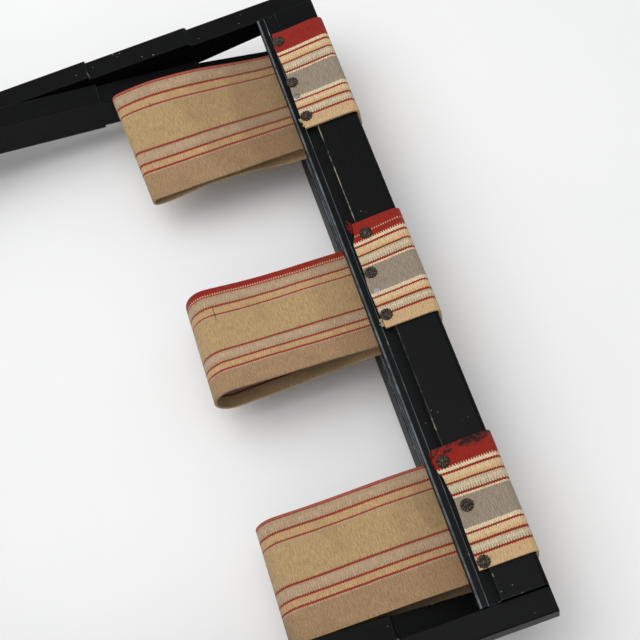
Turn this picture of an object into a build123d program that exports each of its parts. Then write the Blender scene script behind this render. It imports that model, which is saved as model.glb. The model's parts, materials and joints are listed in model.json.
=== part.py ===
from build123d import *
import os
from math import asin, atan2, cos, degrees, hypot, radians, sin, sqrt, tan

# Folding luggage rack, standing folded. X runs along the rails, -Y is the front, +Z is up.
# Every size is in millimetres and every angle in degrees.

# Frames
outer_width = 590.0
leg_width = 19.5
leg_gap = 3.0
leg_depth = 34.0
pivot_swell = 3.0
pivot_half_length = 108.0
upper_reach = 315.0
lower_reach = 304.0
open_angle = 38.0
shoulder_drop = 61.0
shoulder_step = 4.0
shoulder_ease = 2.5
leg_edge_radius = 1.2

# Rails
rail_height = 52.0
rail_thickness = 23.0
rail_top_radius = 3.0
moulding_height = 17.0
moulding_step = 1.2
cove_depth = 4.0
lip_height = 7.0
lip_depth = 2.4
lip_bevel = 1.2
rail_gap = 10.0

# Dowels and stretchers
dowel_diameter = 8.0
dowel_length = 24.0
dowel_spacing = 28.0
dowel_offset = 1.5
stretcher_height = 36.0
stretcher_thickness = 18.0
stretcher_offset = 7.0
stretcher_drop = 230.0
tenon_height = 24.0
tenon_thickness = 10.0
tenon_length = 10.0
wood_clearance = 0.05

# Pivot hardware
bolt_diameter = 8.0
bolt_head_diameter = 17.0
bolt_head_height = 5.0
bolt_clearance = 0.05
bolt_tail = 2.0
washer_diameter = 18.0
end_washer_thickness = 1.5
nut_across_flats = 13.0
nut_height = 6.5
face_clearance = 0.2

# Straps
strap_width = 98.0
strap_side_gap = 2.0
strap_thickness = 2.0
strap_clearance = 0.3
strap_end_height = 9.0
strap_drop = 185.0
loop_radii = (4.5, 17.0, 15.0)
slack_radius = 60.0

# Tacks, with their places along and up the front rail as the worn straps hold them
tack_head_diameter = 10.6
tack_head_height = 2.4
tack_shank_diameter = 1.6
tack_length = 14.0
tack_clearance = 0.05
front_tack_places = (
    ((-43.0, 13.5), (2.5, 12.0), (39.5, 13.0)),
    ((-38.5, 21.5), (-3.0, 14.0), (37.0, 13.5)),
    ((-36.0, 13.0), (1.0, 18.0), (44.0, 14.5)),
)
back_tack_places = ((-36.0, 13.5), (0.0, 13.5), (36.0, 13.5))
nail_head_diameter = 5.0
nail_head_height = 1.0
nail_place = (17.0, 11.5)

# Places that follow from the sizes, in a frame's own plane: u is towards the back of the outer frame,
# v is up the leg from the pivot
rail_low = upper_reach - rail_height
rail_middle = upper_reach - rail_height / 2
half_thickness = rail_thickness / 2
leg_back = leg_depth - half_thickness
shoulder = rail_low - shoulder_drop
fold_tilt = degrees(
    atan2(half_thickness, rail_low) + asin(rail_gap / hypot(half_thickness, rail_low))
)
foot_slope = tan(radians(open_angle))
heel = lower_reach + foot_slope * leg_back
pivot_height = heel * cos(radians(fold_tilt)) - leg_back * sin(radians(fold_tilt))
outer_face = outer_width / 2
inner_face = outer_face - leg_width - leg_gap
outer_span = 2 * (outer_face - leg_width)
inner_span = 2 * (inner_face - leg_width)
wrap_offset = strap_clearance + strap_thickness / 2
strap_outer = half_thickness + strap_clearance + strap_thickness
strap_pitch = (inner_span - strap_width) / 2 - strap_side_gap
strap_centres = [strap_pitch * (i - 1) for i in range(3)]


def at_rest(shape, inner=False):
    """Tilts a frame's piece to its folded place. The inner frame is the outer one mirrored to the back."""
    tilted = Rot(X=fold_tilt) * shape
    return Pos(Z=pivot_height) * (mirror(tilted, about=Plane.XZ) if inner else tilted)


def bar(outline, length, middle=0.0):
    """Extrudes a closed outline of the YZ plane along X, about the given middle."""
    return Pos(X=middle) * extrude(outline, amount=length / 2, dir=(1, 0, 0), both=True)


def rod(diameter, start, end, u=0.0, v=0.0):
    """A round pin along X between two places."""
    pin = Rot(Y=90) * Cylinder(diameter / 2, abs(end - start))
    return Pos((start + end) / 2, u, v) * pin


def block(width, depth, height, x, u, v):
    return Pos(x, u, v) * Box(width, depth, height)


def polygon(points):
    corners = [(0, u, v) for u, v in points]
    return make_face(Polyline(*corners, close=True))


def dowel_places():
    return [(dowel_offset, rail_middle + side * dowel_spacing / 2) for side in (-1, 1)]


def leg(face, side):
    """One leg: set back from the rail, stepped out at a shoulder and the pivot, with a slanted foot."""
    back = [
        (half_thickness, upper_reach),
        (half_thickness, rail_low),
        (leg_back - shoulder_step, shoulder),
        (leg_back - shoulder_ease, shoulder),
        (leg_back, shoulder - shoulder_ease),
        (leg_back, pivot_half_length),
        (leg_back + pivot_swell, pivot_half_length),
        (leg_back + pivot_swell, -pivot_half_length),
        (leg_back, -pivot_half_length),
        (leg_back, -heel),
    ]
    front = [
        (-half_thickness, foot_slope * half_thickness - lower_reach),
        (-half_thickness, -pivot_half_length),
        (-half_thickness - pivot_swell, -pivot_half_length),
        (-half_thickness - pivot_swell, pivot_half_length),
        (-half_thickness, pivot_half_length),
        (-half_thickness, shoulder - shoulder_ease),
        (shoulder_ease - half_thickness, shoulder),
        (shoulder_step - half_thickness, shoulder),
        (shoulder_step - half_thickness, upper_reach),
    ]
    middle = side * (face - leg_width / 2)
    body = bar(polygon(back + front), leg_width, middle)
    long_edges = body.edges().filter_by(Axis.Z).filter_by(lambda e: e.length > shoulder_drop / 2)
    body = fillet(long_edges, leg_edge_radius)
    inside = side * (face - leg_width)
    body -= rod(bolt_diameter + 2 * bolt_clearance, middle - leg_width, middle + leg_width)
    for u, v in dowel_places():
        body -= rod(dowel_diameter + 2 * wood_clearance, inside, inside + side * dowel_length / 2, u, v)
    mortise = 2 * (tenon_length + wood_clearance)
    body -= block(
        mortise,
        tenon_thickness + 2 * wood_clearance,
        tenon_height + 2 * wood_clearance,
        inside,
        stretcher_offset,
        -stretcher_drop,
    )
    return body


def rail_outline():
    """The rail's section: rounded top, a step, a cove and a bevelled lip along the lower front edge."""
    front = -half_thickness
    cove_top = (front + moulding_step, rail_low + moulding_height)
    cove_low = (front + moulding_step + cove_depth, rail_low + lip_height)
    lip = front + lip_depth
    sag = ((cove_top[0] + 3 * cove_low[0]) / 4, (cove_top[1] + cove_low[1]) / 2)
    turn = rail_top_radius * (1 - cos(radians(45)))
    edges = [
        Line((0, front, upper_reach - rail_top_radius), (0, front, cove_top[1])),
        Line((0, front, cove_top[1]), (0, *cove_top)),
        ThreePointArc((0, *cove_top), (0, *sag), (0, *cove_low)),
        Line((0, *cove_low), (0, lip, cove_low[1])),
        Line((0, lip, cove_low[1]), (0, lip, rail_low + lip_bevel)),
        Line((0, lip, rail_low + lip_bevel), (0, lip + lip_bevel, rail_low)),
        Line((0, lip + lip_bevel, rail_low), (0, half_thickness, rail_low)),
        Line((0, half_thickness, rail_low), (0, half_thickness, upper_reach - rail_top_radius)),
        ThreePointArc(
            (0, half_thickness, upper_reach - rail_top_radius),
            (0, half_thickness - turn, upper_reach - turn),
            (0, half_thickness - rail_top_radius, upper_reach),
        ),
        Line(
            (0, half_thickness - rail_top_radius, upper_reach),
            (0, rail_top_radius - half_thickness, upper_reach),
        ),
        ThreePointArc(
            (0, rail_top_radius - half_thickness, upper_reach),
            (0, turn - half_thickness, upper_reach - turn),
            (0, front, upper_reach - rail_top_radius),
        ),
    ]
    return make_face(edges)


def tack_holes(places, depth):
    shank = tack_shank_diameter + 2 * tack_clearance
    return [
        Pos(x, -strap_outer + depth / 2, rail_low + up) * (Rot(X=90) * Cylinder(shank / 2, depth))
        for x, up in places
    ]


def rail(span, places):
    body = bar(rail_outline(), span)
    for side in (-1, 1):
        for u, v in dowel_places():
            end = side * span / 2
            body -= rod(dowel_diameter + 2 * wood_clearance, end, end - side * dowel_length / 2, u, v)
    for hole in tack_holes(places, tack_length + tack_clearance):
        body -= hole
    return body


def dowels(span):
    half = dowel_length / 2 - wood_clearance
    return Compound(
        [
            rod(dowel_diameter, side * span / 2 - half, side * span / 2 + half, u, v)
            for side in (-1, 1)
            for u, v in dowel_places()
        ]
    )


def stretcher(span):
    body = block(span, stretcher_thickness, stretcher_height, 0, stretcher_offset, -stretcher_drop)
    body = fillet(body.edges().filter_by(Axis.X), leg_edge_radius)
    tenons = span + 2 * tenon_length
    return body + block(tenons, tenon_thickness, tenon_height, 0, stretcher_offset, -stretcher_drop)


def tack(x, up, head_diameter, head_height):
    """A domed head on the strap and a pointed shank through it into the rail, along +Y."""
    shank = Cylinder(tack_shank_diameter / 2, tack_length - head_height)
    shank = Pos(Z=-(tack_length - head_height) / 2) * shank
    radius = head_diameter / 2
    ball = (radius**2 + head_height**2) / (2 * head_height)
    dome = Pos(Z=head_height - ball) * Sphere(ball)
    head = Pos(Z=head_height / 2) * Cylinder(radius, head_height) & dome
    return Pos(x, -strap_outer, rail_low + up) * (Rot(X=90) * (head + shank))


def tacks(places):
    return Compound([tack(x, up, tack_head_diameter, tack_head_height) for x, up in places])


def ribbon(start, heading, steps):
    """A flat ribbon's outline, edge on. A step is a run, (length,), or a turn, (radius, angle)."""
    sides = []
    for offset in (strap_thickness / 2, -strap_thickness / 2):
        place, angle, edges = Vector(0, *start), heading, []
        for step in steps:
            left = Vector(0, -sin(radians(angle)), cos(radians(angle)))
            if len(step) == 1:
                end = place + Vector(0, cos(radians(angle)), sin(radians(angle))) * step[0]
                edges.append(Line(place + left * offset, end + left * offset))
                place = end
                continue
            radius, turn = step
            side = 1 if turn > 0 else -1
            centre = place + left * radius * side
            spoke = place + left * offset - centre
            points = [centre + spoke.rotate(Axis.X, turn * share) for share in (0, 0.5, 1)]
            edges.append(ThreePointArc(*points))
            place = centre + (place - centre).rotate(Axis.X, turn)
            angle += turn
        sides.append(edges)
    ends = [Line(sides[0][0] @ 0, sides[1][0] @ 0), Line(sides[0][-1] @ 1, sides[1][-1] @ 1)]
    return make_face([*sides[0], *sides[1], *ends])


def strap_wrap(middle, places):
    """The tacked end: up the rail's face, over its top and round its inner corner."""
    corner = rail_top_radius + wrap_offset
    steps = [
        (rail_height - strap_end_height - rail_top_radius,),
        (corner, -90),
        (rail_thickness - 2 * rail_top_radius,),
        (corner, -90),
    ]
    start = (-half_thickness - wrap_offset, rail_low + strap_end_height)
    body = bar(ribbon(start, 90, steps), strap_width, middle)
    for hole in tack_holes(places, strap_thickness + 2 * strap_clearance):
        body -= hole
    return body


def strap_loop(middle, radius):
    """Half of the slack: down the rail's inner face, out a little, and round to the middle of the rack."""
    tilt = radians(fold_tilt)
    u, v = half_thickness + wrap_offset, upper_reach - rail_top_radius
    start = (u * cos(tilt) - v * sin(tilt), u * sin(tilt) + v * cos(tilt))
    run = rail_height - rail_top_radius
    edge = (start[0] + run * sin(tilt), start[1] - run * cos(tilt))
    slack_centre = (edge[0] - slack_radius * cos(tilt), edge[1] - slack_radius * sin(tilt))
    across, down = -slack_centre[0], start[1] - strap_drop + radius - slack_centre[1]
    reach = slack_radius + radius
    wall = degrees(atan2(down, across) - asin(reach / hypot(across, down)))
    steps = [
        (run,),
        (slack_radius, wall + 90 - fold_tilt),
        (sqrt(across**2 + down**2 - reach**2),),
        (radius, -wall),
    ]
    return Pos(Z=pivot_height) * bar(ribbon(start, fold_tilt - 90, steps), strap_width, middle)


def pivot_set(side):
    """Bolt, spacer washer, end washer and nut of one pivot."""
    bore = bolt_diameter + 2 * bolt_clearance
    head_seat = outer_face + face_clearance
    spacer_seat = outer_face - leg_width - face_clearance
    washer_seat = inner_face - leg_width - face_clearance
    nut_seat = washer_seat - end_washer_thickness
    tail = nut_seat - nut_height - bolt_tail
    head = rod(bolt_head_diameter, head_seat, head_seat + bolt_head_height)
    head = fillet(head.edges().sort_by(Axis.X)[-1], bolt_head_height / 2)
    spacer = leg_gap - 2 * face_clearance
    nut = extrude(RegularPolygon(nut_across_flats / 2, 6, major_radius=False), nut_height)
    nut = Pos(X=nut_seat - nut_height) * (Rot(Y=90) * nut)
    pieces = {
        "bolt": head + rod(bolt_diameter, tail, head_seat),
        "spacer": rod(washer_diameter, spacer_seat - spacer, spacer_seat)
        - rod(bore, spacer_seat - leg_gap, spacer_seat + leg_gap),
        "washer": rod(washer_diameter, nut_seat, washer_seat) - rod(bore, tail, outer_face),
        "nut": nut - rod(bore, tail, outer_face),
    }
    if side < 0:
        pieces = {name: mirror(piece, about=Plane.YZ) for name, piece in pieces.items()}
    return {name: Pos(Z=pivot_height) * piece for name, piece in pieces.items()}


nodes = {}
front_places = [
    (middle + x, up) for middle, row in zip(strap_centres, front_tack_places) for x, up in row
]
back_places = [(middle + x, up) for middle in strap_centres for x, up in back_tack_places]
nail = (strap_centres[0] + nail_place[0], nail_place[1])
front_holes = front_places + [nail]
frames = (
    ("outer", outer_face, outer_span, front_holes, False),
    ("inner", inner_face, inner_span, back_places, True),
)
for name, face, span, places, inner in frames:
    nodes[f"{name}_rail"] = at_rest(rail(span, places), inner)
    nodes[f"{name}_rail_dowels"] = at_rest(dowels(span), inner)
    nodes[f"{name}_stretcher"] = at_rest(stretcher(span), inner)
    for side, word in ((-1, "left"), (1, "right")):
        nodes[f"{name}_leg_{word}"] = at_rest(leg(face, side), inner)

for side, word in ((-1, "left"), (1, "right")):
    for name, piece in pivot_set(side).items():
        nodes[f"pivot_{name}_{word}"] = piece

for number, (middle, radius) in enumerate(zip(strap_centres, loop_radii), start=1):
    loop = strap_loop(middle, radius)
    nodes[f"strap_{number}_front_wrap"] = at_rest(strap_wrap(middle, front_holes))
    nodes[f"strap_{number}_front_loop"] = loop
    nodes[f"strap_{number}_back_loop"] = mirror(loop, about=Plane.XZ)
    nodes[f"strap_{number}_back_wrap"] = at_rest(strap_wrap(middle, back_places), True)

nodes["front_tacks"] = at_rest(tacks(front_places))
nodes["back_tacks"] = at_rest(tacks(back_places), True)
nodes["repair_nail"] = at_rest(tack(*nail, nail_head_diameter, nail_head_height))

os.makedirs("parts", exist_ok=True)
for name, shape in nodes.items():
    export_step(shape, f"parts/{name}.step")
print("fold tilt", round(fold_tilt, 4), "pivot height", round(pivot_height, 3), "nodes", len(nodes))
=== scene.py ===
# %% [markdown]
# # A folding luggage rack with three worn webbing straps
# The rack stands folded: two hinged wooden frames, black paint rubbed through on its edges, and three
# striped straps that hang in loops between the rails. The imported model already holds every wooden and
# metal piece at its real place, so this first step loads it and keeps its box for placing the backdrop.

# %% Load the frame
import bpy
import json
import random
from math import asin, atan2, cos, degrees, hypot, pi, radians, sin, sqrt
from mathutils import Matrix, Vector


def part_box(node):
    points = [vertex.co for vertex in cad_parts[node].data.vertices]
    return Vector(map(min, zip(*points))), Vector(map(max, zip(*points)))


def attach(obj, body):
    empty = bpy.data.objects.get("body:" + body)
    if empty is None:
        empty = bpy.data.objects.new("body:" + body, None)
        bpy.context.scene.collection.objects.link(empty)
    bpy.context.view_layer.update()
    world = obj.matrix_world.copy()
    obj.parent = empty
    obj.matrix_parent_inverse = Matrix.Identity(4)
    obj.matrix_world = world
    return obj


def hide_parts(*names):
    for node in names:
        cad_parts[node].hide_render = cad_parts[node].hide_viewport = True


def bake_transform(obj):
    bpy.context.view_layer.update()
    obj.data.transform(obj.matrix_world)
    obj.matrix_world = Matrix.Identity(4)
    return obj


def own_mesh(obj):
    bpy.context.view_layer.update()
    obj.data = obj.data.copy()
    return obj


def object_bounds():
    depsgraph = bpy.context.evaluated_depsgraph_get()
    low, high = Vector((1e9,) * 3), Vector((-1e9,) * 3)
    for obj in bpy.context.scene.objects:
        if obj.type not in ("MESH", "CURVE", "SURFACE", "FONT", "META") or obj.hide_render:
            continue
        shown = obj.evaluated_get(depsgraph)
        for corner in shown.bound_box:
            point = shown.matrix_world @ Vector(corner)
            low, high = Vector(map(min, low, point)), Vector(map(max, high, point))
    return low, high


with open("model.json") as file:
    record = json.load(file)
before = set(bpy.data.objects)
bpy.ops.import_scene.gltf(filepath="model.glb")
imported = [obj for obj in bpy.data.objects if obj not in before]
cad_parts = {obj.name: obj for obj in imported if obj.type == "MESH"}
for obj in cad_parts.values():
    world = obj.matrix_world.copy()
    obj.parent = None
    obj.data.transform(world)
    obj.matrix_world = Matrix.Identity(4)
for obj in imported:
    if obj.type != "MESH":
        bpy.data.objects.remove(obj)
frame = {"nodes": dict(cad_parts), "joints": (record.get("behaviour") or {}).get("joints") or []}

cad_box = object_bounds()
nodes = frame["nodes"]
MM = 0.001
print("nodes", len(nodes), "box", [round(side / MM) for side in cad_box[1] - cad_box[0]], "mm")

# %% [markdown]
# ## One leaning frame as a drawing plane
# Each frame leans a little at rest, so its pieces are easier to place in the frame's own plane: u goes
# from its front face to its back face and v goes up the leg from the pivot. The back frame is the same
# drawing mirrored, which one sign takes care of.

# %% Places in a frame's own plane
fold = next(joint for joint in frame["joints"] if joint["name"] == "fold")
PIVOT_HEIGHT = fold["pos_m"][2]
OPEN_ANGLE = 38.0
TILT = radians(OPEN_ANGLE - fold["range_deg"][1])
UPPER_REACH = 315 * MM
RAIL_HEIGHT = 52 * MM
RAIL_THICKNESS = 23 * MM
RAIL_TOP_RADIUS = 3 * MM
RAIL_LOW = UPPER_REACH - RAIL_HEIGHT
FRONT, BACK = 1, -1


def in_frame(x, u, v, side=FRONT):
    """A point of a leaning frame, in the rack's own frame."""
    y = u * cos(TILT) - v * sin(TILT)
    z = u * sin(TILT) + v * cos(TILT)
    return Vector((x, side * y, PIVOT_HEIGHT + z))


print("frame leans", round(degrees(TILT), 2), "degrees, rail top at", in_frame(0, 0, UPPER_REACH))

# %% [markdown]
# ## The camera
# The photograph looks at the front rail from a little to one side, turned until the rail runs down the
# picture. A camera matrix made from three directions says exactly that: one along the view, and two that
# the roll turns about it. The lens is given by how many pixels a metre covers at one metre.

# %% Camera
PICTURE = 640
LENS_PIXELS = 1350
SENSOR_WIDTH = 36
AZIMUTH, ROLL = radians(25.84), radians(70.14)
VIEW_DISTANCE = 1.0578
AIM_X, AIM_U, AIM_V = 21.8 * MM, -11.5 * MM, 226.5 * MM

lean = Matrix.Rotation(TILT, 3, "X")
towards_camera = lean @ Vector((sin(AZIMUTH), -cos(AZIMUTH), 0))
level = lean @ Vector((cos(AZIMUTH), sin(AZIMUTH), 0))
upright = lean @ Vector((0, 0, 1))
picture_right = cos(ROLL) * level + sin(ROLL) * upright
picture_up = cos(ROLL) * upright - sin(ROLL) * level

camera = bpy.data.objects.new("camera", bpy.data.cameras.new("camera"))
bpy.context.scene.collection.objects.link(camera)
bpy.context.scene.camera = camera
camera.data.sensor_width = SENSOR_WIDTH
camera.data.lens = LENS_PIXELS / PICTURE * SENSOR_WIDTH
turn = Matrix((picture_right, picture_up, towards_camera)).transposed().to_4x4()
camera.matrix_world = Matrix.Translation(
    in_frame(AIM_X, AIM_U, AIM_V) + VIEW_DISTANCE * towards_camera
) @ turn
print("camera at", camera.matrix_world.translation, "lens", round(camera.data.lens, 1))

# %% [markdown]
# ## Shader maths as plain expressions
# Wear and weave are mostly arithmetic on coordinates. A small class that wraps a socket lets that be
# written as an expression, where each operator adds its Math node. Every other node comes from one
# method, which sets the node up first and then fills its sockets.

# %% A socket with operators


class Wire:
    """One output socket of a node tree, or the tree alone where nothing is made yet."""

    def __init__(self, tree, socket=None):
        self.tree = tree
        self.socket = socket

    def node(self, kind, settings=None, sockets=None, out=0):
        made = self.tree.nodes.new(kind)
        for key, value in (settings or {}).items():
            if key == "stops":
                ramp = made.color_ramp
                while len(ramp.elements) < len(value):
                    ramp.elements.new(0.5)
                for element, (place, colour) in zip(ramp.elements, value):
                    element.position = place
                    element.color = (*colour, 1)
            elif key == "interpolation":
                made.color_ramp.interpolation = value
            else:
                setattr(made, key, value)
        for key, value in (sockets or {}).items():
            if isinstance(value, Wire):
                self.tree.links.new(value.socket, made.inputs[key])
            else:
                made.inputs[key].default_value = value
        return Wire(self.tree, made.outputs[out])

    def here(self):
        """The shaded point, in the rack's own coordinates."""
        return self.node("ShaderNodeTexCoord", None, None, "Object")

    def flatness(self, radius):
        """1 on flat faces, and less within that radius of an edge or a crease."""
        normal = self.node("ShaderNodeNewGeometry", None, None, "Normal")
        rounded = self.node("ShaderNodeBevel", {"samples": 6}, {"Radius": radius})
        settings = {"operation": "DOT_PRODUCT"}
        return self.node("ShaderNodeVectorMath", settings, {0: normal, 1: rounded}, "Value")

    def math(self, operation, *others):
        values = dict(enumerate((self, *others)))
        return self.node("ShaderNodeMath", {"operation": operation}, values)

    def __add__(self, other):
        return self.math("ADD", other)

    def __sub__(self, other):
        return self.math("SUBTRACT", other)

    def __mul__(self, other):
        return self.math("MULTIPLY", other)

    def __truediv__(self, other):
        return self.math("DIVIDE", other)

    def __rsub__(self, other):
        return self.node("ShaderNodeMath", {"operation": "SUBTRACT"}, {0: other, 1: self})

    __radd__ = __add__
    __rmul__ = __mul__

    def step(self, low, high):
        """0 below low, 1 above high, smooth between; the other way round where high is below low."""
        sockets = {"Value": self, "From Min": low, "From Max": high}
        if high < low:
            sockets = {"Value": self, "From Min": high, "From Max": low, "To Min": 1.0, "To Max": 0.0}
        return self.node("ShaderNodeMapRange", {"interpolation_type": "SMOOTHSTEP"}, sockets)

    def near(self, place, half, soft):
        """1 within half of a place, fading out over soft."""
        return (self - place).math("ABSOLUTE").step(half + soft, half)

    def blend(self, other, share):
        """This colour, with that share of the other one."""
        factor, first, second, result = 0, 6, 7, 2
        colours = {factor: share, first: self, second: (*other, 1)}
        return self.node("ShaderNodeMix", {"data_type": "RGBA"}, colours, result)

    def split(self):
        """The three parts of a vector."""
        return [self.node("ShaderNodeSeparateXYZ", None, {0: self}, part) for part in range(3)]

    def join(self, x, y, z):
        return self.node("ShaderNodeCombineXYZ", None, {0: x, 1: y, 2: z})

    def noise(self, scale, detail=2.0, roughness=0.5):
        values = {"Vector": self, "Scale": scale, "Detail": detail, "Roughness": roughness}
        return self.node("ShaderNodeTexNoise", None, values)

    def stretched(self, x, y, z):
        return self.node("ShaderNodeMapping", None, {"Vector": self, "Scale": (x, y, z)})

    def ramp(self, stops, interpolation="LINEAR"):
        settings = {"stops": stops, "interpolation": interpolation}
        return self.node("ShaderNodeValToRGB", settings, {0: self})

    def bump(self, strength, distance):
        values = {"Strength": strength, "Distance": distance, "Height": self}
        return self.node("ShaderNodeBump", None, values)


def new_material(name):
    """An empty material, and the wire that adds nodes to it."""
    material = bpy.data.materials.new(name)
    material.use_nodes = True
    tree = material.node_tree
    tree.nodes.clear()
    return material, Wire(tree)


def finish_material(material, wire, sockets):
    shader = wire.node("ShaderNodeBsdfPrincipled", None, sockets)
    output = wire.tree.nodes.new("ShaderNodeOutputMaterial")
    wire.tree.links.new(shader.socket, output.inputs["Surface"])
    return material


def colour(code):
    """A colour as it looks on a screen, as the linear numbers that a shader takes."""
    parts = [int(code[i : i + 2], 16) / 255 for i in (0, 2, 4)]
    return tuple(part / 12.92 if part < 0.04045 else ((part + 0.055) / 1.055) ** 2.4 for part in parts)


print("wire operators ready")

# %% [markdown]
# ## Floor, backdrop and light
# The rack is photographed lying on a white floor. Here it stands, so a white sheet just behind it takes
# that floor's place and catches the same soft shadows. The sheet shows only its front. One large lamp
# stands at the picture's left, below the height of the floor, a weaker one stands in front, and an even
# white sky fills the rest. The floor casts no shadow, so that the low lamp can shine past it. The pivots
# stay at one height, so the feet rise as the rack opens.

# %% Stage
BACKDROP_GAP = 6 * MM
SHEET_SIZE = 4.0
LOWER_REACH = 304 * MM
OPEN_FOOT = PIVOT_HEIGHT - LOWER_REACH * cos(radians(OPEN_ANGLE))
SKY_LIGHT = 0.55


def deselect():
    bpy.ops.object.select_all(action="DESELECT")


def active():
    return bpy.context.view_layer.objects.active


def white_sheet(name, one_sided):
    material, wire = new_material(name)
    place = wire.here()
    mottle = place.noise(3.0, 3.0)
    white = mottle.ramp([(0.3, (0.86, 0.865, 0.87)), (0.7, (0.9, 0.9, 0.9))])
    finish_material(material, wire, {"Base Color": white, "Roughness": 0.9, "Specular IOR Level": 0.1})
    if one_sided:
        output = next(n for n in wire.tree.nodes if n.type == "OUTPUT_MATERIAL")
        front = Wire(wire.tree, output.inputs["Surface"].links[0].from_socket)
        behind = wire.node("ShaderNodeNewGeometry", None, None, "Backfacing")
        clear = wire.node("ShaderNodeBsdfTransparent")
        shown = wire.node("ShaderNodeMixShader", None, {0: behind, 1: front, 2: clear})
        wire.tree.links.new(shown.socket, output.inputs["Surface"])
    return material


deselect()
bpy.ops.mesh.primitive_plane_add(size=SHEET_SIZE)
floor = active()
floor.name = "floor"
floor.data.materials.append(white_sheet("floor_white", False))
floor.visible_shadow = False
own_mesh(floor)

deselect()
bpy.ops.mesh.primitive_plane_add(size=SHEET_SIZE, rotation=(pi / 2, 0, 0))
backdrop = active()
backdrop.name = "backdrop"
backdrop.location = (0, cad_box[1].y + BACKDROP_GAP, SHEET_SIZE / 2)
bpy.ops.object.transform_apply(location=True, rotation=True, scale=True)
backdrop.data.materials.append(white_sheet("backdrop_white", True))
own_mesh(backdrop)


def lamp(name, place, aim, size, power):
    light = bpy.data.lights.new(name, "AREA")
    light.shape = "DISK"
    light.size = size
    light.energy = power
    holder = bpy.data.objects.new(name, light)
    bpy.context.scene.collection.objects.link(holder)
    holder.location = place
    holder.rotation_euler = (Vector(aim) - Vector(place)).to_track_quat("-Z", "Y").to_euler()


lamp("window", place=(-0.5, -1.8, -0.3), aim=(0, 0, 0.5), size=1.9, power=18)
lamp("front", place=(0, -2.2, 0.3), aim=(0, 0, 0.4), size=2.0, power=13)

world = bpy.data.worlds.new("sky")
bpy.context.scene.world = world
world.use_nodes = True
sky = Wire(world.node_tree)
world.node_tree.nodes.clear()
seen = sky.node("ShaderNodeLightPath", None, None, "Is Camera Ray")
through = sky.node("ShaderNodeLightPath", None, None, "Is Transmission Ray")
direct = (seen + through).math("MINIMUM", 1.0)
strength = SKY_LIGHT + (1 - SKY_LIGHT) * direct
glow = sky.node("ShaderNodeBackground", None, {"Color": (1, 1, 1, 1), "Strength": strength})
world_output = world.node_tree.nodes.new("ShaderNodeOutputWorld")
world.node_tree.links.new(glow.socket, world_output.inputs["Surface"])
bpy.context.scene.view_settings.view_transform = "Standard"
print("stage", floor.name, backdrop.name, "sky light", SKY_LIGHT)

# %% [markdown]
# ## Worn black paint
# Old satin paint on wood: nearly black, brushed along the grain, rubbed through to pale wood where
# edges are knocked. Edges could be painted by hand on each piece. Here a bevel lookup finds them on
# every wooden piece at once, and noise breaks the rubbed line into chips. It also lightens every edge
# to a grey-blue that is partly rubbed paint and partly a painted highlight. The rails also get the pale
# line that hands have rubbed along their moulding, in the frame's own coordinates, and thin pale lines
# along their lip that are painted highlights, partly rubbed paint.

# %% Paint
PAINT_DEEP, PAINT = colour("070808"), colour("0c0d0e")
# The grey-blue that edges are lightened to is partly rubbed paint and partly a painted highlight.
PAINT_WORN_AND_HIGHLIGHT = colour("2e3538")
# The lip's pale lines are painted highlights, partly rubbed paint.
LIP_WEAR_AND_HIGHLIGHT = colour("727a80")
CHIP = colour("a9a392")
WORN_LINE = RAIL_LOW + 17.2 * MM
LIP_TOP = RAIL_LOW + 7 * MM
LIP_EDGE = RAIL_LOW + 1.3 * MM
WORN_MIDDLE = -100 * MM


def frame_axes(place, side):
    """The x and v of a point, for wear that follows a leaning frame."""
    x, y, z = place.split()
    return x, (z - PIVOT_HEIGHT) * cos(TILT) - y * side * sin(TILT)


def black_paint(name, side, along_x, moulded=False):
    material, wire = new_material(name)
    place = wire.here()
    brushed = place.stretched(6, 90, 90) if along_x else place.stretched(90, 90, 6)
    strokes = brushed.noise(9.0, 3.0)
    patches = place.noise(22.0, 4.0, 0.6)
    specks = place.noise(420.0, 1.0)
    edge = wire.flatness(1.3 * MM).step(0.985, 0.86)
    # Edges are lightened in patches: rubbed paint, and a painted highlight along them.
    rubbed_and_highlight = edge * (patches.step(0.42, 0.62) * 0.6 + 0.4)
    chipped = edge * (place.noise(130.0, 3.0) + patches * 0.35).step(0.8, 0.87)
    fleck = specks.step(0.775, 0.795) * patches.step(0.5, 0.62)
    tone = strokes.ramp([(0.3, PAINT_DEEP), (0.72, PAINT)]).blend(PAINT_WORN_AND_HIGHLIGHT, rubbed_and_highlight)
    if moulded:
        x, v = frame_axes(place, side)
        worn_line = v.near(WORN_LINE, 0.2 * MM, 0.3 * MM)
        broken = place.stretched(1, 0.05, 0.05).noise(60.0, 4.0, 0.65)
        most_worn = x.near(WORN_MIDDLE, 50 * MM, 40 * MM) * 0.6 + x.near(0, 120 * MM, 60 * MM) * 0.1
        chipped = chipped.math("MAXIMUM", worn_line * broken.step(0.4, 0.58) * most_worn)
        # Thin pale lines along the lip's lower edge and along its top: painted highlights, partly rubbed
        # paint.
        lip_wear_and_highlight = v.near(LIP_EDGE, 0.5 * MM, 0.5 * MM) + v.near(LIP_TOP, 0.25 * MM, 0.35 * MM) * 0.7
        tone = tone.blend(LIP_WEAR_AND_HIGHLIGHT, lip_wear_and_highlight * (broken.step(0.35, 0.65) * 0.45 + 0.3))
    bare = chipped.math("MAXIMUM", fleck)
    tone = tone.blend(CHIP, bare)
    rough = 0.34 + strokes * 0.16 + rubbed_and_highlight * 0.15 + bare * 0.3
    height = strokes * 0.5 + patches * 0.4 - bare * 0.8
    return finish_material(
        material,
        wire,
        {
            "Base Color": tone,
            "Roughness": rough,
            "Normal": height.bump(0.35, 0.35 * MM),
            "Specular IOR Level": 0.07,
        },
    )


def paint_node(name, material):
    nodes[name].data.materials.clear()
    nodes[name].data.materials.append(material)


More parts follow.
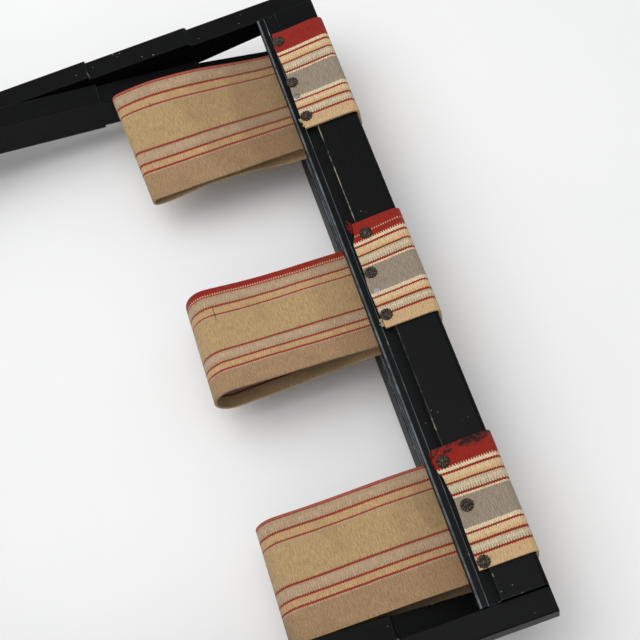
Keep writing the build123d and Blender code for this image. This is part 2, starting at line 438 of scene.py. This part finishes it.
for word, side in (("outer", FRONT), ("inner", BACK)):
    rails = black_paint(f"{word}_rail_paint", side, True, True)
    legs = black_paint(f"{word}_leg_paint", side, False)
    paint_node(f"{word}_rail", rails)
    paint_node(f"{word}_stretcher", black_paint(f"{word}_stretcher_paint", side, True))
    for hand in ("left", "right"):
        paint_node(f"{word}_leg_{hand}", legs)
print("rails, stretchers and legs painted")

# %% [markdown]
# ## Steel and bare wood
# The pivot bolts are blackened steel, rubbed grey in patches, and the dowels inside the joints are plain
# beech. Both are small or hidden, but someone who opens the rack sees the bolts close up.

# %% Hardware finishes


def blackened_steel():
    material, wire = new_material("blackened_steel")
    place = wire.here()
    wear = place.noise(160.0, 4.0, 0.6)
    tone = wear.ramp([(0.4, colour("1c1c1d")), (0.68, colour("565350"))])
    sockets = {"Base Color": tone, "Metallic": 0.85, "Roughness": 0.35 + wear * 0.3}
    sockets["Normal"] = wear.bump(0.2, 0.1 * MM)
    return finish_material(material, wire, sockets)


def bare_beech():
    material, wire = new_material("bare_beech")
    place = wire.here()
    grain = place.stretched(8, 160, 160).noise(5.0, 3.0)
    tone = grain.ramp([(0.35, colour("b48f62")), (0.7, colour("cfae80"))])
    sockets = {"Base Color": tone, "Roughness": 0.7, "Normal": grain.bump(0.2, 0.1 * MM)}
    return finish_material(material, wire, sockets)


steel, beech = blackened_steel(), bare_beech()
for name in nodes:
    if name.startswith("pivot_"):
        paint_node(name, steel)
    elif "dowels" in name:
        paint_node(name, beech)
print("hardware finished")

# %% [markdown]
# ## Striped webbing
# The straps are heavy woven webbing. Its stripes run along the strap, so they are a list of colours
# across the width, read from the strap's own UV map: u is the share of the way across, and v is the
# distance along it in metres. The side that faces out on the rail is bright, with a grey middle. The
# side that shows on the loops is faded to gold. Narrow ribbed stripes carry dark ticks, and every
# stripe's edge follows the threads.

# %% Webbing
RED, CREAM, YELLOW = colour("8a1d0f"), colour("d2bf9c"), colour("c6a574")
RIBBED, GREY, TAN, PEACH = colour("c3b294"), colour("8f8271"), colour("c0a077"), colour("ccb18a")
BEIGE, GOLD, PALE_TAN, PINK = colour("b09679"), colour("ad9168"), colour("b7966c"), colour("b0604e")
PALE, PLAIN, FADED_RED = colour("b09b80"), colour("9d7f5e"), colour("8f2f21")
SHADE, STAIN, TICK = colour("4a3a28"), colour("7a6140"), colour("514330")
GHOST, SOOT, BROWN = colour("a79ca4"), colour("17120f"), colour("5c3f2a")
RED_SHARE_IN_RAMP = 0.2
RED_CHANGES = 46 * MM
# Where each stripe starts, as a share of the width beyond the red border.
BRIGHT_STRIPES = (
    (0.0, CREAM), (0.036, RED), (0.06, PEACH), (0.11, YELLOW), (0.142, RED), (0.162, RIBBED),
    (0.255, RED), (0.278, CREAM), (0.298, GREY), (0.596, CREAM), (0.634, RED), (0.655, PEACH),
    (0.704, YELLOW), (0.735, RED), (0.756, RIBBED), (0.842, RED), (0.868, TAN),
)
FADED_STRIPES = (
    (0.0, PINK), (0.012, FADED_RED), (0.021, BEIGE), (0.115, FADED_RED), (0.132, PALE_TAN),
    (0.196, FADED_RED), (0.212, PALE), (0.222, GOLD), (0.552, FADED_RED), (0.571, BEIGE),
    (0.666, FADED_RED), (0.683, PALE_TAN), (0.74, FADED_RED), (0.757, PALE), (0.766, PLAIN),
)
# How dark the ticks are, and then where each ribbed stripe's two rows of them lie.
BRIGHT_RIBS = (0.5, (0.17, 0.25), (0.765, 0.835))
FADED_RIBS = (0.25, (0.035, 0.11), (0.575, 0.66))
# The half width of a row of ticks or dots, and how far it fades beyond that.
TICK_ROW, DOT_ROW = (0.016, 0.01), (0.004, 0.007)
STRIPE_DRIFT, THREAD_WOBBLE = 0.012, 0.003
TICK_PITCH = 2.0 * MM
RIB_PITCH = 1.1 * MM
WARP_PITCH = 1.0 * MM
# Where along the cloth the painted shade inside the loop begins, and where it is at full strength.
LOOP_DARKENS = (120 * MM, 160 * MM)


def webbing(name, stripes, ribs, reds, stretch, width, grime, loop_shade, dots=(), marks=()):
    """Cloth whose red border changes width from its cut end, with dotted lines and marks laid over it."""
    material, wire = new_material(name)
    across, along, _ = wire.node("ShaderNodeUVMap", {"uv_map": "weave"}).split()
    flat = wire.join(across * width, along, 0)
    drift = flat.noise(35.0, 2.0) * STRIPE_DRIFT - STRIPE_DRIFT / 2
    cycle = along * (2 * pi / TICK_PITCH)
    red = (along / RED_CHANGES).math("MINIMUM", 1.0) * (reds[1] - reds[0]) + reds[0]
    stripe = (across + drift + cycle.math("SINE") * THREAD_WOBBLE - red) / (1 - red) * stretch
    scale = 1 - RED_SHARE_IN_RAMP
    stops = [(0.0, RED)] + [(RED_SHARE_IN_RAMP + scale * at, tone) for at, tone in stripes]
    tone = (stripe * scale + RED_SHARE_IN_RAMP).ramp(stops, "CONSTANT")
    weft = (along * (2 * pi / RIB_PITCH)).math("SINE")
    warp = (across * (2 * pi * width / WARP_PITCH)).math("SINE")
    streaks = flat.stretched(180, 1000, 1).noise(1.0, 2.0, 0.6)
    grain = flat.noise(1100.0, 2.0, 0.7)
    stains = flat.noise(28.0, 4.0, 0.6)
    tick = (cycle + drift * 120).math("SINE").step(0.0, 0.6)
    depth, *bands = ribs
    edges = sum(stripe.near(at, *TICK_ROW) for band in bands for at in band)
    ticks = edges * tick * grain.step(0.3, 0.5)
    tone = tone.blend(TICK, ticks * depth)
    for at in dots:
        tone = tone.blend(CREAM, stripe.near(at, *DOT_ROW) * tick * 0.8)
    # Deep inside the loop the cloth is darkened: painted shade in the loop's hollow.
    inside_loop = along.step(*LOOP_DARKENS)
    light = (streaks * 1.1 + grain * 1.3 - 0.2) * (1 - inside_loop * loop_shade)
    tone = wire.node("ShaderNodeHueSaturation", None, {"Value": light, "Color": tone})
    tone = tone.blend(STAIN, stains.step(0.5, 0.75) * grime)
    torn = (stains * 0.4 + grain * 0.3 + flat.noise(260.0, 2.0) * 0.3).step(0.44, 0.52)
    for mark, place, half, ragged, strength in marks:
        sideways, onwards = (across - place[0]) / half[0], (along - place[1]) / half[1]
        spot = (sideways * sideways + onwards * onwards).step(1.2, 0.7) * strength
        tone = tone.blend(mark, spot * torn if ragged else spot)
    height = weft * warp * 0.5 + streaks * 0.8 + grain * 0.5 - ticks * 0.6
    return finish_material(
        material,
        wire,
        {
            "Base Color": tone,
            "Roughness": 0.92 - stains * 0.08,
            "Normal": height.bump(0.6, 0.35 * MM),
            "Specular IOR Level": 0.15,
            "Sheen Weight": 0.1,
            "Sheen Roughness": 0.6,
        },
    )


print("stripes", len(BRIGHT_STRIPES), len(FADED_STRIPES))

# %% [markdown]
# ## The straps
# Each strap is tacked to the front rail's face, goes over its top, hangs in a slack loop and climbs the
# back rail the same way. Seen from the end it is a path of straight runs and arcs, so a flat grid is
# laid along that path and then given the webbing's thickness. It is made in four pieces: an end over
# each rail, and two halves that swing as the rack opens.

# %% Strap path
STRAP_THICKNESS = 2 * MM
STRAP_CLEARANCE = 0.3 * MM
STRAP_END_HEIGHT = 9 * MM
STRAP_DROP = 185 * MM
SLACK_RADIUS = 60 * MM
LOOP_RADII = (4.5 * MM, 17 * MM, 15 * MM)
GRID_STEP = 2 * MM
CORNER_U = RAIL_THICKNESS / 2 - RAIL_TOP_RADIUS
CORNER_V = UPPER_REACH - RAIL_TOP_RADIUS
WRAP_OFFSET = STRAP_CLEARANCE + STRAP_THICKNESS / 2
WRAP_RADIUS = RAIL_TOP_RADIUS + WRAP_OFFSET


def walk(start, heading, steps):
    """Stations along runs and arcs, as (a, b, distance). A step is a length and its turn."""
    stations = []
    a, b = start
    travelled = 0.0
    for length, turn in steps:
        count = max(1, round(length / GRID_STEP))
        for i in range(count):
            middle = heading + turn * (i + 0.5) / count
            stations.append((a, b, travelled))
            a += cos(middle) * length / count
            b += sin(middle) * length / count
            travelled += length / count
        heading += turn
    stations.append((a, b, travelled))
    return stations


def wrap_stations():
    quarter = (WRAP_RADIUS * pi / 2, -pi / 2)
    steps = [
        (RAIL_HEIGHT - STRAP_END_HEIGHT - RAIL_TOP_RADIUS, 0),
        quarter,
        (RAIL_THICKNESS - 2 * RAIL_TOP_RADIUS, 0),
        quarter,
    ]
    path = walk((-RAIL_THICKNESS / 2 - WRAP_OFFSET, RAIL_LOW + STRAP_END_HEIGHT), pi / 2, steps)
    return [(*in_frame(0, u, v).yz, at) for u, v, at in path]


def loop_steps(edge, radius):
    """A slack bend, a straight wall and the tip's arc: the wall touches both circles."""
    across = SLACK_RADIUS * cos(TILT) - edge.x
    down = SLACK_RADIUS * sin(TILT) - edge.y + radius - STRAP_DROP
    reach = SLACK_RADIUS + radius
    wall = atan2(down, across) - asin(reach / hypot(across, down))
    bend = wall + pi / 2 - TILT
    return [
        (SLACK_RADIUS * abs(bend), bend),
        (sqrt(across**2 + down**2 - reach**2), 0),
        (radius * -wall, -wall),
    ]


def loop_stations(radius):
    start = in_frame(0, CORNER_U + WRAP_RADIUS, CORNER_V)
    run = RAIL_HEIGHT - RAIL_TOP_RADIUS
    edge = Vector((start.y + run * sin(TILT), -run * cos(TILT)))
    return walk((start.y, start.z), TILT - pi / 2, [(run, 0)] + loop_steps(edge, radius))


def path_length(path):
    return path[-1][2]


wrap_path = wrap_stations()
wrap_length = path_length(wrap_path)
loop_paths = [loop_stations(radius) for radius in LOOP_RADII]
loop_lengths = [path_length(path) for path in loop_paths]
print("wrap and loops", [round(length / MM, 1) for length in (wrap_length, *loop_lengths)], "mm")

# %% [markdown]
# ## How each strap hangs
# No two straps hang alike. The second and third loops sag towards the floor that the rack was laid on,
# and the first one twists: its outer edge comes forward and hangs longer. These numbers say how far each
# edge goes at the tip, and a smooth step takes the sag from nothing at the rail to all of it there. The
# tacked ends lift a little between their tacks and over the rail's top. Pairs go from a strap's left
# edge, which is its red one, to its right edge.

# %% Strap shapes
# How far each edge lies along the rail from the solid's.
SPREAD = ((-1.6 * MM, 3.5 * MM), (1.0 * MM, -0.5 * MM), (1.5 * MM, 0.0))
# How far each edge moves along the rail on the loop, at the rail and at the tip.
LOOP_EDGES = (
    ((0.0, 0.0), (0.0, -2.0 * MM)),
    ((6.0 * MM, 3.0 * MM), (0.0, 0.0)),
    ((0.0, 0.0), (0.0, 0.0)),
)
# How far back each edge of the tip sways, and how much lower it hangs.
SWAY = ((-12 * MM, 8 * MM), (16 * MM, 3 * MM), (16 * MM, 14 * MM))
SLANT = ((6 * MM, -1 * MM), (-0.5 * MM, 0.0), (-1 * MM, 0.0))
# How far the back half's right edge is pinched forward, and how far it reaches along the rail.
PINCH = (7 * MM, 0.0, 9 * MM)
BACK_REACH = (0.0, 0.0, 1.8 * MM)
# How far the front half's left edge swells forward, and a power that puts this nearer the tip.
BULGE = ((9 * MM, 1.5), (9 * MM, 6), (3 * MM, 6))
RIPPLE = 3.2 * MM
# How much higher the cut edge runs than the solid's, in mm, at shares of the way across.
END_LINES = (
    ((0.0, -0.8), (0.15, -2.3), (0.4, -1.2), (0.65, -2.6), (0.9, -3.0), (1.0, -2.4)),
    ((0.0, 4.5), (0.1, 3.5), (0.2, 0.0), (0.45, 0.0), (0.6, -1.3), (0.8, -0.6), (1.0, 0.4)),
    ((0.0, -1.0), (0.08, -3.0), (0.17, -2.4), (0.24, 0.2), (0.45, 1.7), (0.7, 0.9), (1.0, 0.4)),
)
END_REACH = 16 * MM
LIFT = 0.7 * MM
RED_LIFT = 1.6 * MM
ROLLED_EDGE = 0.3 * MM


def smooth(share):
    share = min(max(share, 0.0), 1.0)
    return share * share * (3 - 2 * share)


def between(pair, share):
    return pair[0] + (pair[1] - pair[0]) * share


def along_points(points, share):
    """The value at a share of the way, between points given as (share, value)."""
    for (start, low), (end, high) in zip(points, points[1:]):
        if share <= end:
            return low + (high - low) * smooth((share - start) / (end - start))
    return points[-1][1]


def swelling(share, power):
    """Nothing at the rail and at the tip, and 1 at power / (power + 1) of the way."""
    share = max(share, 0.0)
    return (power + 1) ** (power + 1) / power**power * share**power * (1 - share)


def loop_offset(number, across, distance, length, side):
    """How far a point of a loop has sagged, from the rail's lower edge to the tip."""
    run = RAIL_HEIGHT - RAIL_TOP_RADIUS
    hang = smooth((distance - run) / (length - run))
    edges = [between(edge, hang) for edge in LOOP_EDGES[number - 1]]
    wave = sin(9 * across + 2.1 * number) * sin(40 * distance + number) * RIPPLE * hang * (1 - hang)
    if side == BACK:
        wave -= PINCH[number - 1] * across**2 * smooth(4 * hang * (1 - hang))
        edges[1] += BACK_REACH[number - 1]
    else:
        amount, power = BULGE[number - 1]
        wave -= amount * (1 - across) ** 2 * swelling((distance - run) / (length - run), power)
    sag = between(SWAY[number - 1], across) * hang + wave
    drop = between(SLANT[number - 1], across) * hang
    return Vector((between(edges, across) * smooth(distance / run), sag, -drop))


def end_offset(number, across, distance, length, side):
    """How the tacked end's cut edge runs, and how it lifts between its tacks and over the rail."""
    cut = along_points(END_LINES[number - 1], across) * MM * smooth(1 - distance / END_REACH)
    wave = 0.5 + 0.5 * sin(13 * across + 1.7 * number)
    over = smooth(1 - abs(distance - 0.5 * length) / (0.42 * length))
    lift = (LIFT * wave + RED_LIFT * smooth(1 - 4 * across)) * over
    lift += ROLLED_EDGE * smooth(10 * across - 9)
    moved = in_frame(0, -lift, cut) - in_frame(0, 0, 0)
    moved.y *= side
    return moved


print("sway at the tips", [[round(edge / MM) for edge in pair] for pair in SWAY], "mm")

# %% [markdown]
# ## Laying the cloth
# Each strap has its own cloth, because its red border and its wear differ. The grid's two sides take
# two materials: the bright side faces out where the strap is tacked to the rail, and the faded side
# faces out on the loop.

# %% Strap pieces
# The red border's share of the width, at the cut end and further along.
STRAP_REDS = ((0.2, 0.165), (0.185, 0.15), (0.172, 0.18))
LOOP_REDS = ((0.0, 0.0), (0.056, 0.056), (0.002, 0.002))
LOOP_STRETCH = (1.0, 0.96, 1.02)
STRAP_GRIME = (0.35, 0.25, 0.3)
# How dark the painted shade deep inside the loop is, on the bright side.
DARK_IN_LOOP = 0.35
BRIGHT_DOTS = ((0.018,), (-0.075, 0.0), (0.0,))
FADED_DOTS = ((), (0.006,), ())
# A mark is its colour, its place and half size (across as a share, along), if it is torn, its strength.
BRIGHT_MARKS = (
    (),
    ((GHOST, (0.66, 5 * MM), (0.024, 2.4 * MM), False, 0.7),),
    (
        (SOOT, (0.02, 5 * MM), (0.06, 11 * MM), True, 1.0),
        (SOOT, (0.0, 30 * MM), (0.075, 15 * MM), True, 1.0),
        # Painted shade inside the third loop, along its right edge.
        (SHADE, (1.0, 150 * MM), (0.16, 80 * MM), False, 0.6),
    ),
)
# Pulled threads across the loop, as a place and half length, in shares of the width.
PULLED_THREADS = (((0.2, 0.02),), ((0.24, 0.08),), ())
PULLED_FROM_TIP = 30 * MM
# Stains and painted shade on the faded side below the rail; the wide ones darken the whole width.
# Each is its place across, along past the rail's top, half sizes the same way, and strength.
RAIL_STAINS_AND_SHADE = (
    ((0.5, 50 * MM, 0.9, 80 * MM, 0.2), (0.5, 50 * MM, 0.9, 45 * MM, 0.25)),
    ((0.5, 50 * MM, 0.9, 35 * MM, 0.15),),
    ((0.5, 50 * MM, 0.9, 35 * MM, 0.12), (0.3, 57 * MM, 0.22, 9 * MM, 0.18)),
)
BEND_REACH = 0.75 * WRAP_RADIUS
ACROSS_COUNT = 49
CLOTH_CREASE = radians(40)


def strap_sheet(name, number, path, offset, side, along_start, materials):
    """A grid laid along the path across the strap's width, with the webbing's thickness."""
    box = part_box(f"strap_{number}_front_wrap")
    left, right = box[0].x + SPREAD[number - 1][0], box[1].x + SPREAD[number - 1][1]
    rows = len(path) - 1
    length = path_length(path)
    deselect()
    bpy.ops.mesh.primitive_grid_add(x_subdivisions=ACROSS_COUNT, y_subdivisions=rows, size=1)
    piece = active()
    piece.name = name
    mesh = piece.data
    mesh.uv_layers[0].name = "weave"
    share = [vertex.co.x + 0.5 for vertex in mesh.vertices]
    row = [round((vertex.co.y + 0.5) * rows) for vertex in mesh.vertices]
    uv = mesh.uv_layers["weave"].data
    for loop in mesh.loops:
        i = loop.vertex_index
        uv[loop.index].uv = (share[i], along_start + path[row[i]][2])
    for vertex, across, station in zip(mesh.vertices, share, row):
        y, z, distance = path[station]
        moved = offset(number, across, distance, length, side)
        vertex.co = Vector((left + (right - left) * across, side * y, z)) + moved
    bpy.ops.object.mode_set(mode="EDIT")
    bpy.ops.mesh.select_all(action="SELECT")
    if side == BACK:
        bpy.ops.mesh.flip_normals()
    bpy.ops.object.mode_set(mode="OBJECT")
    for material in materials:
        mesh.materials.append(material)
    solid = piece.modifiers.new("thickness", "SOLIDIFY")
    solid.thickness = STRAP_THICKNESS
    solid.offset = 0
    solid.use_even_offset = True
    solid.material_offset = 1
    bpy.ops.object.modifier_apply(modifier="thickness")
    bpy.ops.object.shade_smooth_by_angle(angle=CLOTH_CREASE)
    return piece


straps = []
for number, (loop_path, loop_length) in enumerate(zip(loop_paths, loop_lengths), start=1):
    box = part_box(f"strap_{number}_front_wrap")
    width = box[1].x - box[0].x
    grime = STRAP_GRIME[number - 1]
    pulled_at = wrap_length + loop_length - PULLED_FROM_TIP
    pulled = [
        (SHADE, (at, pulled_at), (half, 0.5 * MM), False, 0.7) for at, half in PULLED_THREADS[number - 1]
    ]
    # Brown stains, and painted shade where the loop comes out below the rail.
    stained_and_shaded = [
        (BROWN, (at, wrap_length + beyond), (half, reach), False, strength)
        for at, beyond, half, reach, strength in RAIL_STAINS_AND_SHADE[number - 1]
    ]
    bright = webbing(
        f"webbing_{number}_bright", BRIGHT_STRIPES, BRIGHT_RIBS, STRAP_REDS[number - 1],
        1.0, width, grime, DARK_IN_LOOP, BRIGHT_DOTS[number - 1], BRIGHT_MARKS[number - 1],
    )
    faded = webbing(
        f"webbing_{number}_faded", FADED_STRIPES, FADED_RIBS, LOOP_REDS[number - 1],
        LOOP_STRETCH[number - 1], width, grime, 0.0, FADED_DOTS[number - 1], pulled + stained_and_shaded,
    )
    cloth = (bright, faded)
    for word, side, body in (("front", FRONT, "outer_frame"), ("back", BACK, "inner_frame")):
        swing = f"strap_{word}"
        end = strap_sheet(f"webbing_{number}_{word}_end", number, wrap_path, end_offset, side, 0, cloth)
        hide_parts(f"strap_{number}_{word}_wrap")
        turn_start = in_frame(0, CORNER_U, CORNER_V + WRAP_RADIUS, side)
        turn_end = in_frame(0, CORNER_U + BEND_REACH, CORNER_V + WRAP_RADIUS, side)
        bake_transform(end)
        name = f"webbing_{number}_{word}_loop"
        half = strap_sheet(name, number, loop_path, loop_offset, side, wrap_length, cloth)
        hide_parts(f"strap_{number}_{word}_loop")
        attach(half, swing)
        anchor = in_frame(0, CORNER_U + WRAP_RADIUS, CORNER_V, side)
        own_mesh(half)
        straps += [end, half]
print("strap pieces", len(straps))

# %% [markdown]
# ## Upholstery tacks
# Each strap end is held by three bronze tacks whose heads are little daisies. One petal is a stretched
# ball, copied round the middle, over a dished disc, with a button in the centre and a shank below. The
# tack is modelled once, standing on the origin, and then copied to each place with its own mesh.

# %% Daisy tack
TACK_RADIUS = 5.3 * MM
TACK_HEIGHT = 2.4 * MM
TACK_SHANK = 0.8 * MM
TACK_LENGTH = 14 * MM
PETALS = 12
METAL_CREASE = radians(50)
TACK_SEED = 5
# Along the rail from the strap's middle and up from the rail's lower edge, in mm.
FRONT_TACKS = (
    ((-41.0, 11.5), (4.5, 10.0), (41.5, 11.0)),
    ((-36.0, 21.5), (-1.0, 14.0), (38.0, 13.5)),
    ((-36.0, 13.0), (1.0, 18.0), (44.0, 14.5)),
)
BACK_TACKS = (((-36.0, 13.5), (0.0, 13.5), (36.0, 13.5)),) * 3
STRAP_FACE = RAIL_THICKNESS / 2 + STRAP_CLEARANCE + STRAP_THICKNESS


def joined(name, parts):
    deselect()
    for part in parts:
        part.select_set(True)
    bpy.context.view_layer.objects.active = parts[0]
    bpy.ops.object.join()
    parts[0].name = name
    bpy.ops.object.transform_apply(location=True, rotation=True, scale=True)
    return parts[0]


def ball(segments, rings, place, size):
    deselect()
    bpy.ops.mesh.primitive_uv_sphere_add(segments=segments, ring_count=rings, radius=1, location=place)
    active().scale = size
    bpy.ops.object.transform_apply(location=True, rotation=True, scale=True)
    return active()


def daisy_tack():
    deselect()
    disc_height = 0.9 * MM
    bpy.ops.mesh.primitive_cylinder_add(
        vertices=36, radius=0.9 * TACK_RADIUS, depth=disc_height, location=(0, 0, disc_height / 2)
    )
    disc = active()
    bpy.ops.object.mode_set(mode="EDIT")
    bpy.ops.mesh.select_all(action="SELECT")
    bpy.ops.mesh.bevel(offset=0.3 * MM, segments=2)
    bpy.ops.object.mode_set(mode="OBJECT")
    petal_size = (0.36 * TACK_RADIUS, 0.2 * TACK_RADIUS, 0.24 * TACK_RADIUS)
    petal = ball(12, 8, (0.64 * TACK_RADIUS, 0, 0.75 * disc_height), petal_size)
    bpy.ops.object.mode_set(mode="EDIT")
    bpy.ops.mesh.select_all(action="SELECT")
    round_to_last = 2 * pi * (PETALS - 1) / PETALS
    bpy.ops.mesh.spin(
        steps=PETALS - 1, dupli=True, angle=round_to_last, center=(0, 0, 0), axis=(0, 0, 1)
    )
    bpy.ops.object.mode_set(mode="OBJECT")
    dish = ball(24, 12, (0, 0, 0.4 * disc_height), (0.6 * TACK_RADIUS, 0.6 * TACK_RADIUS, 1.35 * MM))
    button_size = (0.26 * TACK_RADIUS, 0.26 * TACK_RADIUS, 0.75 * MM)
    button = ball(16, 10, (0, 0, TACK_HEIGHT - 0.75 * MM), button_size)
    deselect()
    bpy.ops.mesh.primitive_cone_add(
        vertices=10, radius1=0, radius2=TACK_SHANK, depth=TACK_LENGTH - TACK_HEIGHT,
        location=(0, 0, -(TACK_LENGTH - TACK_HEIGHT) / 2),
    )
    tack = joined("daisy_tack", [disc, petal, dish, button, active()])
    bpy.ops.object.shade_smooth_by_angle(angle=METAL_CREASE)
    return tack


def bronze():
    material, wire = new_material("dark_bronze")
    place = wire.here()
    wear = place.noise(500.0, 3.0, 0.6)
    crease = wire.flatness(0.5 * MM).step(0.97, 0.75)
    tone = wear.ramp([(0.38, colour("2a241e")), (0.68, colour("6a5e50"))])
    tone = tone.blend(colour("0a0908"), crease * 0.9)
    sockets = {"Base Color": tone, "Metallic": 0.75, "Roughness": 0.22 + wear * 0.2}
    return finish_material(material, wire, sockets)


tack_master = daisy_tack()
tack_master.data.materials.append(bronze())
strap_middles = [sum(corner.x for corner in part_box(f"strap_{n}_front_wrap")) / 2 for n in (1, 2, 3)]
spin = random.Random(TACK_SEED)


def tack_place(x, up, side):
    """The matrix that stands a tack on the strap's face, turned by chance about its shank."""
    outwards = Matrix.Rotation(pi / 2, 4, "X") @ Matrix.Rotation(spin.uniform(0, 2 * pi), 4, "Z")
    tilted = Matrix.Rotation(TILT, 4, "X") @ outwards
    if side == BACK:
        tilted = Matrix.Rotation(pi, 4, "Z") @ tilted
    return Matrix.Translation(in_frame(x, -STRAP_FACE, RAIL_LOW + up, side)) @ tilted


def place_copy(master, name, matrix, body, slot, *replaced):
    copy = bpy.data.objects.new(name, master.data.copy())
    bpy.context.scene.collection.objects.link(copy)
    copy.data.transform(matrix)
    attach(copy, body)
    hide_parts(*replaced)


tack_count = 0
for word, side, body, rows in (
    ("front", FRONT, "outer_frame", FRONT_TACKS), ("back", BACK, "inner_frame", BACK_TACKS)
):
    for number, (middle, row) in enumerate(zip(strap_middles, rows), start=1):
        for i, (x, up) in enumerate(row, start=1):
            matrix = tack_place(middle + x * MM, up * MM, side)
            place_copy(tack_master, f"tack_{word}_{number}_{i}", matrix, body, "bronze", f"{word}_tacks")
            tack_count += 1
bpy.data.objects.remove(tack_master)
print("tacks", tack_count)

# %% [markdown]
# ## One plain nail
# A bright round-headed nail was added beside the middle tack of the first strap. It is a squat cylinder
# whose rim is bevelled round, over a thin shank.

# %% Repair nail
NAIL_RADIUS = 2.5 * MM
NAIL_HEIGHT = 1.0 * MM
NAIL_PLACE = (19.0 * MM, 9.5 * MM)


def bright_nail():
    deselect()
    bpy.ops.mesh.primitive_cylinder_add(
        vertices=32, radius=NAIL_RADIUS, depth=NAIL_HEIGHT, location=(0, 0, NAIL_HEIGHT / 2)
    )
    head = active()
    bpy.ops.object.mode_set(mode="EDIT")
    bpy.ops.mesh.select_all(action="SELECT")
    bpy.ops.mesh.bevel(offset=0.45 * MM, segments=4)
    bpy.ops.object.mode_set(mode="OBJECT")
    deselect()
    bpy.ops.mesh.primitive_cone_add(
        vertices=10, radius1=0, radius2=TACK_SHANK, depth=TACK_LENGTH - NAIL_HEIGHT,
        location=(0, 0, -(TACK_LENGTH - NAIL_HEIGHT) / 2),
    )
    nail = joined("bright_nail", [head, active()])
    bpy.ops.object.shade_smooth_by_angle(angle=METAL_CREASE)
    return nail


def bright_steel():
    material, wire = new_material("bright_steel")
    place = wire.here()
    wear = place.noise(700.0, 3.0, 0.6)
    tone = wear.ramp([(0.35, colour("5f6266")), (0.7, colour("9b9ea2"))])
    sockets = {"Base Color": tone, "Metallic": 0.9, "Roughness": 0.25 + wear * 0.2}
    sockets["Normal"] = wear.bump(0.2, 0.1 * MM)
    return finish_material(material, wire, sockets)


nail_master = bright_nail()
nail_master.data.materials.append(bright_steel())
nail_matrix = tack_place(strap_middles[0] + NAIL_PLACE[0], NAIL_PLACE[1], FRONT)
place_copy(nail_master, "plain_nail", nail_matrix, "outer_frame", "nail_steel", "repair_nail")
bpy.data.objects.remove(nail_master)
print("nail placed")

# %% [markdown]
# ## Frayed corners
# The straps were cut and never hemmed, so their corners have come undone. A thread is a small disc that
# is extruded step by step as it wanders, and a tuft is a handful of them from one stretch of the edge.
# Each tuft says where it starts and ends on its strap's face, in mm as for the tacks, how far it leans
# along the rail, up and out, how many threads it has, their greatest length in mm and their colour.

# %% Frayed threads
THREAD_RADIUS = 0.28 * MM
THREAD_STEPS = 5
WANDERS = 0.75
FRAY_SEED = 11
TUFTS = (
    ("corner_1", 1, (41.0, 6.5), (50.0, 7.5), (0.2, -0.6, 0.5), 26, 4.5, CREAM),
    ("corner_2", 2, (40.0, 8.5), (47.0, 9.0), (0.2, -0.6, 0.5), 18, 4.0, CREAM),
    ("red_2", 2, (-48.0, 13.0), (-40.0, 12.0), (-0.7, -0.4, 0.35), 26, 5.5, RED),
    ("red_3", 3, (-47.0, 7.0), (-33.0, 6.5), (0.1, -0.9, 0.3), 16, 2.6, RED),
    ("edge_3", 3, (-34.0, 51), (-30.0, 51), (0.2, 0.8, 0.5), 5, 3.5, RED),
)
wander = random.Random(FRAY_SEED)


def thread(start, lean, length):
    """One loose thread, as a disc that is extruded along a wandering way."""
    deselect()
    turned = lean.to_track_quat("Z", "Y").to_euler()
    bpy.ops.mesh.primitive_circle_add(
        vertices=5, radius=THREAD_RADIUS, fill_type="NGON", location=start, rotation=turned
    )
    bpy.ops.object.mode_set(mode="EDIT")
    bpy.ops.mesh.select_all(action="SELECT")
    for _ in range(THREAD_STEPS):
        aside = Vector([wander.uniform(-WANDERS, WANDERS) for _ in range(3)])
        step = (lean + aside).normalized() * length / THREAD_STEPS
        bpy.ops.mesh.extrude_region_move(TRANSFORM_OT_translate={"value": step})
    bpy.ops.mesh.select_all(action="SELECT")
    bpy.ops.mesh.normals_make_consistent()
    bpy.ops.object.mode_set(mode="OBJECT")
    return active()


def thread_cloth(name, tone):
    material, wire = new_material(name)
    place = wire.here()
    twist = place.noise(900.0, 2.0)
    light = 0.55 + twist * 0.8
    shaded = wire.node("ShaderNodeHueSaturation", None, {"Value": light, "Color": (*tone, 1)})
    sockets = {"Base Color": shaded, "Roughness": 0.95, "Specular IOR Level": 0.1}
    return finish_material(material, wire, sockets)


thread_looks = {CREAM: thread_cloth("cream_thread", CREAM), RED: thread_cloth("red_thread", RED)}
for name, number, first, last, lean, count, length, tone in TUFTS:
    sideways, upwards, outwards = lean
    heading = in_frame(sideways, -outwards, upwards) - in_frame(0, 0, 0)
    threads = []
    for _ in range(count):
        share = wander.random()
        x, up = between((first[0], last[0]), share) * MM, between((first[1], last[1]), share) * MM
        root = in_frame(strap_middles[number - 1] + x, -STRAP_FACE + STRAP_THICKNESS / 2, RAIL_LOW + up)
        threads.append(thread(root, heading, length * wander.uniform(0.5, 1.0) * MM))
    tuft = joined(f"fray_{name}", threads)
    tuft.data.materials.append(thread_looks[tone])
    bpy.ops.object.shade_smooth()
    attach(tuft, "outer_frame")
print("tufts", [tuft[0] for tuft in TUFTS])
